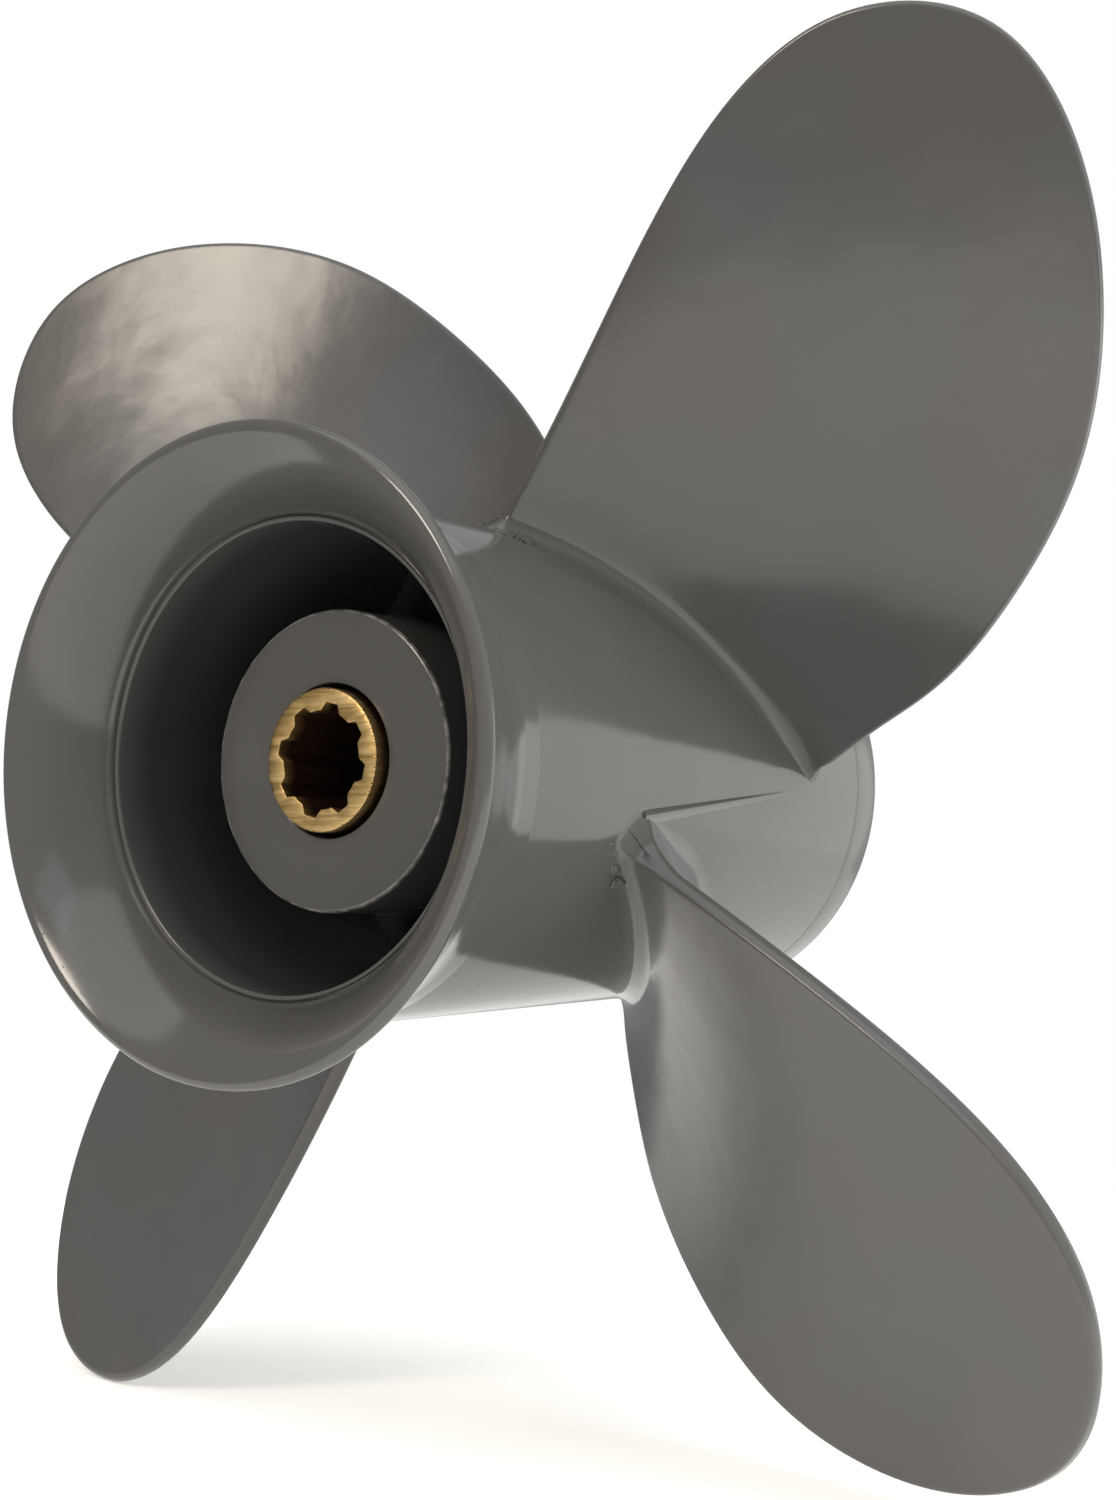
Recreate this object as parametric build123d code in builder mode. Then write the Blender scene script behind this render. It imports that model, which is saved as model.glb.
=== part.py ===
"""Four-blade outboard propeller with a through-hub exhaust and a rubber cushion hub.

Frame: the spin axis is Y, forward (towards the gearcase) is +Y, aft is -Y and +Z is up.
The origin is the centre of the splined sleeve's forward face, which seats on the thrust washer.
Sizes are in millimetres. Angles about the axis run clockwise from up, as seen from aft.
"""
import os
from math import atan2, cos, pi, radians, sin, sqrt, tan

from build123d import *

# ---------------------------------------------------------------- driving dimensions
# Splined brass sleeve
sleeve_length = 95.0
sleeve_radius = 11.2
sleeve_chamfer = 0.5
spline_count = 8
spline_major_radius = 8.85      # bottom of the grooves
spline_minor_radius = 7.65      # crests of the teeth
groove_width_at_crest = 3.4
groove_width_at_bottom = 2.3
spline_phase = 14.6             # first groove's angle
spline_entry_chamfer = 0.8      # lead-in at the forward end only

# Rubber cushion bush, bonded to the sleeve
bush_radius = 18.0
bush_length = 70.0
bush_chamfer = 1.5

# Inner hub of the casting
hub_wall = 5.45                 # round the bush
hub_front_reach = 6.0           # hub's forward end beyond the sleeve's
sleeve_proud = 2.0              # sleeve's aft face behind the hub's
hub_lip_length = 6.0            # inward lip at the aft end, round the sleeve
hub_edge_radius = 0.6
hub_front_chamfer = 1.5

# Fits
bush_clearance = 0.05           # radial, bush in the inner hub: the cushion turns on this fit
lip_clearance = 0.8             # radial, sleeve through the hub's lip
bush_end_gap = 3.0              # along the axis, bush to lip

# Barrel with the flared diffuser at its aft end
barrel_length = 130.5
rim_to_sleeve = 21.7            # rim plane to the sleeve's aft face
rim_radius = 49.0
rim_lip_width = 2.6             # wall at the rim
rim_lip_round = 1.2             # how far the lip's round runs forward
flare_length = 19.9             # rim plane to where the flare runs out outside
barrel_aft_radius = 40.7
barrel_front_radius = 38.2
bore_aft_radius = 35.7
bore_front_radius = 34.2
step_radius = 37.1              # step ring between the flare and the cast bore
step_depth = 12.2               # rim plane to the step ring
step_length = 1.1
flare_slope_at_rim = (-0.75, 1.0)       # outside of the flare, as (radius, axis) directions
flare_slope_at_barrel = (-0.16, 1.0)
bell_slope_at_step = (0.42, -1.0)       # inside of the flare
bell_slope_at_rim = (1.5, -1.0)
front_edge_radius = 1.2
groove_setback = 8.2            # fine turned groove behind the forward end
groove_depth = 0.35
groove_width = 0.8

# Ribs between the inner hub and the barrel
rib_count = 4
rib_thickness = 5.0
rib_phase = 2.0                 # first rib's angle
rib_setback_at_hub = 13.0       # aft edge, forward of the hub's aft face
rib_setback_at_wall = 22.0
rib_front_setback = 9.0         # forward edge, behind the hub's forward end

# Blades
blade_count = 4
blade_tip_radius = 141.0
blade_chord = 72.0              # widest arc from trailing to leading edge
trailing_offset = 10.7          # trailing edge, as an arc behind the reference line
blade_pitch = 294.0             # advance in one turn
blade_rake = 5.75               # degrees, leaning aft towards the tip
blade_phase = 33.9              # first blade's reference line
blade_station = 60.5            # reference line at the root, forward of the rim plane
blade_lean = 20.0               # degrees, reference line to the middle of the root
edge_thickness = 2.8
root_bulge = 6.5                # extra thickness at mid-chord, at the barrel
tip_bulge = 0.4
bulge_fade = 0.6                # power of the span: under 1 thins quickly near the root
bulge_share = 0.48              # half-width of the thick middle, of the chord
drift_share = 0.3               # how far mid-chord drifts back by the tip, of the chord
blank_share = 0.72              # half-width of the blank that the outline trims, of the chord
section_steps = 4               # spline steps each side of mid-chord in a section

# ---------------------------------------------------------------- places along the axis
sleeve_aft_y = -sleeve_length
hub_aft_y = sleeve_aft_y + sleeve_proud
hub_front_y = hub_front_reach
rim_y = sleeve_aft_y - rim_to_sleeve
flare_end_y = rim_y + flare_length
step_y = rim_y + step_depth
bore_start_y = step_y + step_length
barrel_front_y = rim_y + barrel_length
groove_y = barrel_front_y - groove_setback
bush_aft_y = hub_aft_y + hub_lip_length + bush_end_gap
bush_front_y = bush_aft_y + bush_length
lip_aperture_radius = sleeve_radius + lip_clearance
hub_bore_radius = bush_radius + bush_clearance
hub_radius = hub_bore_radius + hub_wall
blade_y = rim_y + blade_station

os.makedirs("parts", exist_ok=True)


def barrel_radius(y):
    """Outer radius of the tapered barrel, forward of the flare."""
    share = (y - flare_end_y) / (barrel_front_y - flare_end_y)
    return barrel_aft_radius + share * (barrel_front_radius - barrel_aft_radius)


def bore_radius(y):
    """Radius of the cast exhaust bore, which narrows a little towards the front."""
    share = (y - bore_start_y) / (barrel_front_y - bore_start_y)
    return bore_aft_radius + share * (bore_front_radius - bore_aft_radius)


# ---------------------------------------------------------------- barrel
with BuildPart() as barrel:
    with BuildSketch(Plane.XY):
        with BuildLine():
            lip_inner = (rim_radius - rim_lip_width, rim_y + rim_lip_round)
            lip_outer = (rim_radius, rim_y + rim_lip_round)
            lip_crest = (rim_radius - rim_lip_width / 2, rim_y)
            ThreePointArc(lip_inner, lip_crest, lip_outer)
            Spline(
                lip_outer,
                (barrel_aft_radius, flare_end_y),
                tangents=[flare_slope_at_rim, flare_slope_at_barrel],
            )
            groove_floor = barrel_radius(groove_y) - groove_depth
            Polyline(
                (barrel_aft_radius, flare_end_y),
                (barrel_radius(groove_y), groove_y),
                (groove_floor, groove_y),
                (groove_floor, groove_y + groove_width),
                (barrel_radius(groove_y + groove_width), groove_y + groove_width),
                (barrel_front_radius, barrel_front_y),
                (bore_front_radius, barrel_front_y),
                (bore_aft_radius, bore_start_y),
                (step_radius, step_y),
            )
            Spline(
                (step_radius, step_y),
                lip_inner,
                tangents=[bell_slope_at_step, bell_slope_at_rim],
            )
        make_face()
    revolve(axis=Axis.Y)
    front_edges = barrel.edges().filter_by(GeomType.CIRCLE).group_by(Axis.Y)[-1]
    fillet(front_edges.sort_by(SortBy.RADIUS)[-1], radius=front_edge_radius)
barrel.part.label = "barrel"
export_step(barrel.part, "parts/barrel.step")

# ---------------------------------------------------------------- inner hub
with BuildPart() as inner_hub:
    with BuildSketch(Plane.XY):
        with BuildLine():
            Polyline(
                (lip_aperture_radius, hub_aft_y),
                (hub_radius, hub_aft_y),
                (hub_radius, hub_front_y),
                (hub_bore_radius, hub_front_y),
                (hub_bore_radius, hub_aft_y + hub_lip_length),
                (lip_aperture_radius, hub_aft_y + hub_lip_length),
                close=True,
            )
        make_face()
    revolve(axis=Axis.Y)
    hub_circles = inner_hub.edges().filter_by(GeomType.CIRCLE).group_by(Axis.Y)
    fillet(hub_circles[0].sort_by(SortBy.RADIUS)[-1], radius=hub_edge_radius)
    chamfer(hub_circles[-1], length=hub_front_chamfer)
inner_hub.part.label = "inner_hub"
export_step(inner_hub.part, "parts/inner_hub.step")

# ---------------------------------------------------------------- ribs
# One rib is made pointing along +X, fills the duct exactly and is turned into each place.
with BuildPart() as rib_pattern:
    rib_hub_y = hub_aft_y + rib_setback_at_hub
    rib_wall_y = hub_aft_y + rib_setback_at_wall
    rib_front_y = hub_front_y - rib_front_setback
    with BuildSketch(Plane.XY):
        with BuildLine():
            Polyline(
                (hub_radius - rib_thickness, rib_hub_y),
                (barrel_aft_radius, rib_wall_y),
                (barrel_aft_radius, rib_front_y),
                (hub_radius - rib_thickness, rib_front_y),
                close=True,
            )
        make_face()
    extrude(amount=rib_thickness / 2, both=True)
    with BuildSketch(Plane.XY):
        with BuildLine():
            Polyline(
                (hub_radius, bore_start_y),
                (bore_aft_radius, bore_start_y),
                (bore_front_radius, barrel_front_y),
                (hub_radius, barrel_front_y),
                close=True,
            )
        make_face()
    revolve(axis=Axis.Y, mode=Mode.INTERSECT)

for index in range(rib_count):
    rib_angle = rib_phase - 90 + index * 360 / rib_count
    with BuildPart() as rib:
        add(rib_pattern.part.rotate(Axis.Y, rib_angle))
    rib.part.label = f"rib_{index + 1}"
    export_step(rib.part, f"parts/rib_{index + 1}.step")


# ---------------------------------------------------------------- blades
def helix_y(angle, radius):
    """Axial place of the blade's middle surface; angle in radians from the reference line."""
    advance = blade_pitch * angle / (2 * pi)
    return blade_y + advance - tan(radians(blade_rake)) * (radius - barrel_aft_radius)


def blade_section(height):
    """Aft and forward face points of the blade on the plane that lies `height` from the axis."""
    span_share = (height - barrel_aft_radius) / (blade_tip_radius - barrel_aft_radius)
    faded = min(1.0, max(0.0, span_share)) ** bulge_fade
    bulge = root_bulge + faded * (tip_bulge - root_bulge)
    middle = -drift_share * blade_chord * max(0.0, span_share)
    half = blank_share * blade_chord
    aft_face = []
    forward_face = []
    for step in range(-section_steps, section_steps + 1):
        x = middle + half * step / section_steps
        radius = sqrt(x * x + height * height)
        angle = atan2(x, height) + radians(blade_lean)
        # Thickness is square to the blade, so along the axis it is longer.
        slope = sqrt(1 + (blade_pitch / (2 * pi * radius)) ** 2)
        swell = bulge * max(0.0, 1 - ((x - middle) / (bulge_share * blade_chord)) ** 2)
        y = helix_y(angle, radius)
        aft_face.append((x, y - slope * edge_thickness / 2))
        forward_face.append((x, y + slope * (edge_thickness / 2 + swell)))
    return aft_face, forward_face


def outline_point(span_share, arc_share):
    """Point on the blade's outline in the plane square to the axis."""
    radius = barrel_aft_radius + span_share * (blade_tip_radius - barrel_aft_radius)
    angle = (arc_share * blade_chord - trailing_offset) / radius
    return (radius * sin(angle), radius * cos(angle))


# Shares of the span and of the chord: the trailing edge is nearly straight, the tip is round
# and the leading edge is swept.
outline = [
    (0.10, 0.006), (0.37, 0.0), (0.57, 0.007), (0.77, 0.058), (0.905, 0.17),
    (1.0, 0.45), (0.942, 0.715), (0.845, 0.866), (0.67, 0.99), (0.475, 0.985),
    (0.28, 0.904), (0.142, 0.799), (0.024, 0.711),
]
# Ends inside the barrel's wall, where the barrel's own surface trims the blade.
root_ends = [(-0.04, 0.01), (-0.04, 0.66)]

# Planes of the blank's sections, from inside the barrel's wall to past the tip.
section_heights = [
    0.74 * barrel_aft_radius,
    1.25 * barrel_aft_radius,
    0.55 * blade_tip_radius,
    0.75 * blade_tip_radius,
    0.9 * blade_tip_radius,
    1.04 * blade_tip_radius,
]

with BuildPart() as blade_pattern:
    lean = radians(blade_lean)
    outward = Vector(sin(lean), 0, cos(lean))
    turning = Vector(cos(lean), 0, -sin(lean))
    for height in section_heights:
        aft_points, forward_points = blade_section(height)
        with BuildSketch(Plane(origin=outward * height, x_dir=turning, z_dir=outward)):
            with BuildLine():
                Spline(*aft_points)
                Line(aft_points[-1], forward_points[-1])
                Spline(*reversed(forward_points))
                Line(forward_points[0], aft_points[0])
            make_face()
    loft()
    with BuildSketch(Plane.XZ):
        with BuildLine():
            root_points = [outline_point(*place) for place in root_ends]
            edge = [outline_point(*place) for place in outline]
            Spline(root_points[0], *edge, root_points[1])
            Line(root_points[1], root_points[0])
        make_face()
    extrude(amount=2 * barrel_length, both=True, mode=Mode.INTERSECT)
    with BuildSketch(Plane.XY):
        with BuildLine():
            Polyline(
                (0, flare_end_y),
                (barrel_aft_radius, flare_end_y),
                (barrel_front_radius, barrel_front_y),
                (0, barrel_front_y),
                close=True,
            )
        make_face()
    revolve(axis=Axis.Y, mode=Mode.SUBTRACT)

for index in range(blade_count):
    with BuildPart() as blade:
        add(blade_pattern.part.rotate(Axis.Y, blade_phase + index * 360 / blade_count))
    blade.part.label = f"blade_{index + 1}"
    export_step(blade.part, f"parts/blade_{index + 1}.step")

# ---------------------------------------------------------------- rubber bush
with BuildPart() as rubber_bush:
    with BuildSketch(Plane.XZ.offset(-bush_front_y)):
        Circle(bush_radius)
        Circle(sleeve_radius, mode=Mode.SUBTRACT)
    extrude(amount=bush_length)
    bush_circles = rubber_bush.edges().filter_by(GeomType.CIRCLE).group_by(Axis.Y)
    for end_circles in (bush_circles[0], bush_circles[-1]):
        chamfer(end_circles.sort_by(SortBy.RADIUS)[-1], length=bush_chamfer)
rubber_bush.part.label = "rubber_bush"
export_step(rubber_bush.part, "parts/rubber_bush.step")

# ---------------------------------------------------------------- splined sleeve
with BuildPart() as splined_sleeve:
    with BuildSketch(Plane.XZ):
        Circle(sleeve_radius)
        Circle(spline_minor_radius, mode=Mode.SUBTRACT)
        with PolarLocations(0, spline_count, start_angle=90 - spline_phase):
            Polygon(
                (0, -groove_width_at_crest / 2),
                (spline_minor_radius, -groove_width_at_crest / 2),
                (spline_major_radius, -groove_width_at_bottom / 2),
                (spline_major_radius, groove_width_at_bottom / 2),
                (spline_minor_radius, groove_width_at_crest / 2),
                (0, groove_width_at_crest / 2),
                align=None,
                mode=Mode.SUBTRACT,
            )
    extrude(amount=sleeve_length)
    outer_edges = splined_sleeve.edges().filter_by(GeomType.CIRCLE).sort_by(SortBy.RADIUS)
    chamfer(outer_edges[-2:], length=sleeve_chamfer)
    with BuildSketch(Plane.XY):
        with BuildLine():
            Polyline(
                (0, 0),
                (spline_minor_radius + spline_entry_chamfer, 0),
                (spline_minor_radius, -spline_entry_chamfer),
                (0, -spline_entry_chamfer),
                close=True,
            )
        make_face()
    revolve(axis=Axis.Y, mode=Mode.SUBTRACT)
splined_sleeve.part.label = "splined_sleeve"
export_step(splined_sleeve.part, "parts/splined_sleeve.step")
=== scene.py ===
"""Looks for the four-blade outboard propeller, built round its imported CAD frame.

The spin axis is Y: forward is +Y, aft is -Y and +Z is up. Lengths are in metres.
Angles about the axis run clockwise from up, as seen from aft.
"""

from functools import partial
from math import atan2, cos, hypot, pi, radians, sin, sqrt, tan

import bmesh
import bpy
import numpy as np
from bpy.props import FloatProperty, FloatVectorProperty, IntProperty, PointerProperty
from mathutils import Matrix, Vector, noise


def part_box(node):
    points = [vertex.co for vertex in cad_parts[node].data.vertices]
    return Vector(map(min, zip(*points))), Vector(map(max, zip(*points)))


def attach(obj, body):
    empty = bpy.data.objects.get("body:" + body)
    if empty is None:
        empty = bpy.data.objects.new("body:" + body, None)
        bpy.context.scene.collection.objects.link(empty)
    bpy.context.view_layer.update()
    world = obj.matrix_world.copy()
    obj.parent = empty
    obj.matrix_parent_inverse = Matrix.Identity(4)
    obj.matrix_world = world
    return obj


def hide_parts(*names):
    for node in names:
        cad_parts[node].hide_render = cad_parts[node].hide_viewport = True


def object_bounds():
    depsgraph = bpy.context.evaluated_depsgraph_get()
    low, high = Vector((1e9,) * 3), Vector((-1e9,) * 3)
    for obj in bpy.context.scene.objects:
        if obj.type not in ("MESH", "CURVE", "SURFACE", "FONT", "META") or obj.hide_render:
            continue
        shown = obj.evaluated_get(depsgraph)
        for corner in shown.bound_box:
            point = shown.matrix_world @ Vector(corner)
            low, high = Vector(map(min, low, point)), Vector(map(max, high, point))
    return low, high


bl_info = {
    "name": "Outboard propeller",
    "version": (1, 0, 0),
    "blender": (4, 5, 0),
    "location": "View3D > Sidebar > Propeller",
    "description": "Builds an enamelled four-blade propeller round its CAD frame",
    "category": "Add Mesh",
}

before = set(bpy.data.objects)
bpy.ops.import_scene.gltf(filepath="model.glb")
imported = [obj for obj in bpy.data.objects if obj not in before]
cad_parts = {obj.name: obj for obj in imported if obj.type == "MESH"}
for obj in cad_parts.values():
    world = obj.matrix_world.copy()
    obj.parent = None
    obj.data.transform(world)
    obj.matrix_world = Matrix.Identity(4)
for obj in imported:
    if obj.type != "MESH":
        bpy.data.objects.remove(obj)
CAD_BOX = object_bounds()
MM = 0.001

# Places along the axis and radii that the CAD gives
RIM_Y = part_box("barrel")[0].y
BARREL_FRONT_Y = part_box("barrel")[1].y
RIM_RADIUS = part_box("barrel")[1].z
HUB_AFT_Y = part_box("inner_hub")[0].y
HUB_FRONT_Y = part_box("inner_hub")[1].y
HUB_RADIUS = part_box("inner_hub")[1].z
BUSH_AFT_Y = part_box("rubber_bush")[0].y
BUSH_FRONT_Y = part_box("rubber_bush")[1].y
BUSH_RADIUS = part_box("rubber_bush")[1].z
SLEEVE_AFT_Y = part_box("splined_sleeve")[0].y
SLEEVE_FRONT_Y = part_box("splined_sleeve")[1].y
SLEEVE_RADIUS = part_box("splined_sleeve")[1].z

SPIN_STEPS = 224
# Vertices nearer than this are one vertex.
SAME_PLACE = 1e-6


def linear_colour(hex_value):
    """Linear red, green, blue and alpha of an sRGB hex colour such as "5a5856"."""
    channels = []
    for place in (0, 2, 4):
        value = int(hex_value[place:place + 2], 16) / 255
        value = value / 12.92 if value <= 0.04045 else ((value + 0.055) / 1.055) ** 2.4
        channels.append(value)
    return (*channels, 1.0)


# ------------------------------------------------------------------ settings
class BarrelSettings(bpy.types.PropertyGroup):
    """Sizes of the barrel, its diffuser and the ribs inside it."""

    flare_length: FloatProperty(
        name="Flare length", description="From the rim plane to where the flare runs out",
        default=19.9 * MM, unit="LENGTH")
    aft_radius: FloatProperty(
        name="Aft radius", description="Outside of the barrel where the flare runs out",
        default=40.7 * MM, unit="LENGTH")
    front_radius: FloatProperty(
        name="Front radius", description="Outside of the barrel at its forward end",
        default=38.2 * MM, unit="LENGTH")
    step_depth: FloatProperty(
        name="Step depth", description="From the rim plane to the step ring",
        default=12.2 * MM, unit="LENGTH")
    step_radius: FloatProperty(
        name="Step radius", description="Outside of the step ring",
        default=37.1 * MM, unit="LENGTH")
    bore_aft_radius: FloatProperty(
        name="Bore aft radius", description="Exhaust bore behind the step ring",
        default=35.7 * MM, unit="LENGTH")
    bore_front_radius: FloatProperty(
        name="Bore front radius", description="Exhaust bore at the forward end",
        default=34.2 * MM, unit="LENGTH")
    groove_setback: FloatProperty(
        name="Groove setback", description="Turned groove behind the forward end",
        default=8.2 * MM, unit="LENGTH")
    rib_thickness: FloatProperty(
        name="Rib thickness", description="Ribs between the hub and the barrel",
        default=5.0 * MM, unit="LENGTH")
    rib_phase: FloatProperty(
        name="Rib phase", description="Angle of the first rib, clockwise from up",
        default=radians(2.0), unit="ROTATION")


class BladeSettings(bpy.types.PropertyGroup):
    """Sizes of the blades."""

    count: IntProperty(name="Blades", description="Number of blades", default=4)
    tip_radius: FloatProperty(
        name="Tip radius", description="Spin axis to the blade's tip",
        default=140.7 * MM, unit="LENGTH")
    chord: FloatProperty(
        name="Chord", description="Widest arc from the trailing to the leading edge",
        default=72.0 * MM, unit="LENGTH")
    trailing_offset: FloatProperty(
        name="Trailing offset", description="Trailing edge behind the reference line",
        default=10.7 * MM, unit="LENGTH")
    pitch: FloatProperty(
        name="Pitch", description="Advance in one turn", default=294.0 * MM, unit="LENGTH")
    rake: FloatProperty(
        name="Rake", description="Lean aft towards the tip",
        default=radians(5.75), unit="ROTATION")
    phase: FloatProperty(
        name="Phase", description="First blade's reference line, clockwise from up",
        default=radians(33.9), unit="ROTATION")
    station: FloatProperty(
        name="Station", description="Reference line at the root, forward of the rim plane",
        default=60.5 * MM, unit="LENGTH")
    edge_thickness: FloatProperty(
        name="Edge thickness", description="Flat land round the blade's outline",
        default=2.8 * MM, unit="LENGTH")
    edge_round: FloatProperty(
        name="Edge round", description="Radius between the land and each face",
        default=0.75 * MM, unit="LENGTH")
    edge_ridge: FloatProperty(
        name="Edge ridge", description="Parting ridge along the middle of the land",
        default=0.2 * MM, unit="LENGTH")
    root_bulge: FloatProperty(
        name="Root bulge", description="Extra thickness at mid-chord, at the barrel",
        default=6.5 * MM, unit="LENGTH")
    tip_bulge: FloatProperty(
        name="Tip bulge", description="Extra thickness at mid-chord, at the tip",
        default=0.4 * MM, unit="LENGTH")
    root_land: FloatProperty(
        name="Root land", description="Extra thickness of the land at the barrel",
        default=3.4 * MM, unit="LENGTH")
    fillet_height: FloatProperty(
        name="Fillet height", description="Root fillet's height up the blade",
        default=4.0 * MM, unit="LENGTH")


class CushionSettings(bpy.types.PropertyGroup):
    """Sizes of the splined sleeve."""

    teeth: IntProperty(name="Teeth", description="Number of spline teeth", default=8)
    groove_radius: FloatProperty(
        name="Groove radius", description="Spin axis to the bottom of a groove",
        default=8.85 * MM, unit="LENGTH")
    crest_radius: FloatProperty(
        name="Crest radius", description="Spin axis to the crest of a tooth",
        default=7.65 * MM, unit="LENGTH")
    groove_mouth: FloatProperty(
        name="Groove mouth", description="Groove's width at the crests",
        default=3.4 * MM, unit="LENGTH")
    groove_floor: FloatProperty(
        name="Groove floor", description="Groove's width at its bottom",
        default=2.3 * MM, unit="LENGTH")
    phase: FloatProperty(
        name="Phase", description="First groove's angle, clockwise from up",
        default=radians(14.6), unit="ROTATION")


class FinishSettings(bpy.types.PropertyGroup):
    """Colours of the finishes."""

    enamel: FloatVectorProperty(
        name="Enamel", description="Grey enamel on the casting", subtype="COLOR", size=4,
        min=0, max=1, default=linear_colour("535250"))
    # Painted shade: the duct colour is a darker enamel that stands in for the shade deep inside
    # the exhaust duct.
    duct: FloatVectorProperty(
        name="Duct", description="Thin, sooty enamel inside the exhaust duct",
        subtype="COLOR", size=4, min=0, max=1, default=linear_colour("3b3c3d"))
    brass: FloatVectorProperty(
        name="Brass", description="Machined brass", subtype="COLOR", size=4,
        min=0, max=1, default=linear_colour("e8cd96"))
    rubber: FloatVectorProperty(
        name="Rubber", description="Moulded rubber", subtype="COLOR", size=4,
        min=0, max=1, default=linear_colour("1b1b1c"))


# ------------------------------------------------------------------ helpers
def rounded_path(corners, segments=4):
    """Points along a closed path; each corner is (radius from axis, y, rounding)."""
    points = []
    count = len(corners)
    for index, (r, y, rounding) in enumerate(corners):
        corner = Vector((r, y))
        if rounding == 0:
            points.append(corner)
            continue
        before = Vector(corners[index - 1][:2]) - corner
        after = Vector(corners[(index + 1) % count][:2]) - corner
        half_angle = before.angle(after) / 2
        reach = rounding / tan(half_angle)
        start = corner + before.normalized() * reach
        end = corner + after.normalized() * reach
        centre = corner + (before.normalized() + after.normalized()).normalized() * (
            rounding / sin(half_angle))
        first = start - centre
        sweep = first.angle_signed(end - centre)
        for step in range(segments + 1):
            turned = Matrix.Rotation(-sweep * step / segments, 2) @ first
            points.append(centre + turned)
    return points


def hermite(start, start_slope, end, end_slope, steps):
    """Points between two ends of a smooth curve, with the ends left out."""
    start = Vector(start)
    end = Vector(end)
    reach = (end - start).length
    start_slope = Vector(start_slope).normalized() * reach
    end_slope = Vector(end_slope).normalized() * reach
    points = []
    for step in range(1, steps):
        t = step / steps
        points.append(
            start * (2 * t**3 - 3 * t**2 + 1) + start_slope * (t**3 - 2 * t**2 + t)
            + end * (3 * t**2 - 2 * t**3) + end_slope * (t**3 - t**2))
    return points


def off_axis(radius, angle, y=0.0):
    """The point at a radius and an angle about the axis, and a place along it."""
    return Vector((radius * sin(angle), y, radius * cos(angle)))


def lathe(profile):
    """A bmesh of a closed profile, as (radius, y) points, spun about the axis."""
    bm = bmesh.new()
    verts = [bm.verts.new((r, y, 0)) for r, y in profile]
    edges = [bm.edges.new((verts[i - 1], verts[i])) for i in range(len(verts))]
    bmesh.ops.spin(
        bm, geom=verts + edges, axis=(0, 1, 0), cent=(0, 0, 0), angle=2 * pi,
        steps=SPIN_STEPS, use_merge=True)
    bmesh.ops.remove_doubles(bm, verts=bm.verts, dist=SAME_PLACE)
    bmesh.ops.recalc_face_normals(bm, faces=bm.faces)
    return bm


def add_object(name, data):
    """A new object in the scene for a mesh, a light or a camera."""
    made = bpy.data.objects.new(name, data)
    bpy.context.scene.collection.objects.link(made)
    return made


def finish_piece(bm, name, body, material, nodes, sharp_angle=radians(32)):
    """Makes the object of a bmesh, and ties it to its body, slot and CAD nodes."""
    for face in bm.faces:
        face.smooth = True
    for edge in bm.edges:
        if len(edge.link_faces) == 2 and edge.calc_face_angle() > sharp_angle:
            edge.smooth = False
    mesh = bpy.data.meshes.new(name)
    bm.to_mesh(mesh)
    bm.free()
    mesh.materials.append(material)
    piece = add_object(name, mesh)
    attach(piece, body)
    if nodes:
        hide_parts(*nodes)


def finish_casting(bm, name, nodes, sharp_angle=radians(32)):
    """Makes the object of a bmesh that is part of the enamelled casting."""
    finish_piece(
        bm, name, "casting", enamel_material(), nodes, sharp_angle)


def add_node(tree, kind, inputs=None, **settings):
    """Adds a node with its settings; an input is a value, or a node or socket to link from."""
    node = tree.nodes.new(kind)
    for key, value in settings.items():
        setattr(node, key, value)
    for socket, value in (inputs or {}).items():
        if isinstance(value, bpy.types.Node):
            value = next(output for output in value.outputs if output.enabled)
        if isinstance(value, bpy.types.NodeSocket):
            tree.links.new(value, node.inputs[socket])
        else:
            node.inputs[socket].default_value = value
    return node


def barrel_radius(y):
    """Outer radius of the barrel forward of the flare."""
    barrel = bpy.context.scene.propeller_barrel
    start = RIM_Y + barrel.flare_length
    share = (y - start) / (BARREL_FRONT_Y - start)
    return barrel.aft_radius + share * (barrel.front_radius - barrel.aft_radius)


def material_named(name):
    """An existing material or a new empty one, and whether it is new."""
    material = bpy.data.materials.get(name)
    if material:
        return material, False
    material = bpy.data.materials.new(name)
    material.use_nodes = True
    material.node_tree.nodes.clear()
    return material, True


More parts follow.
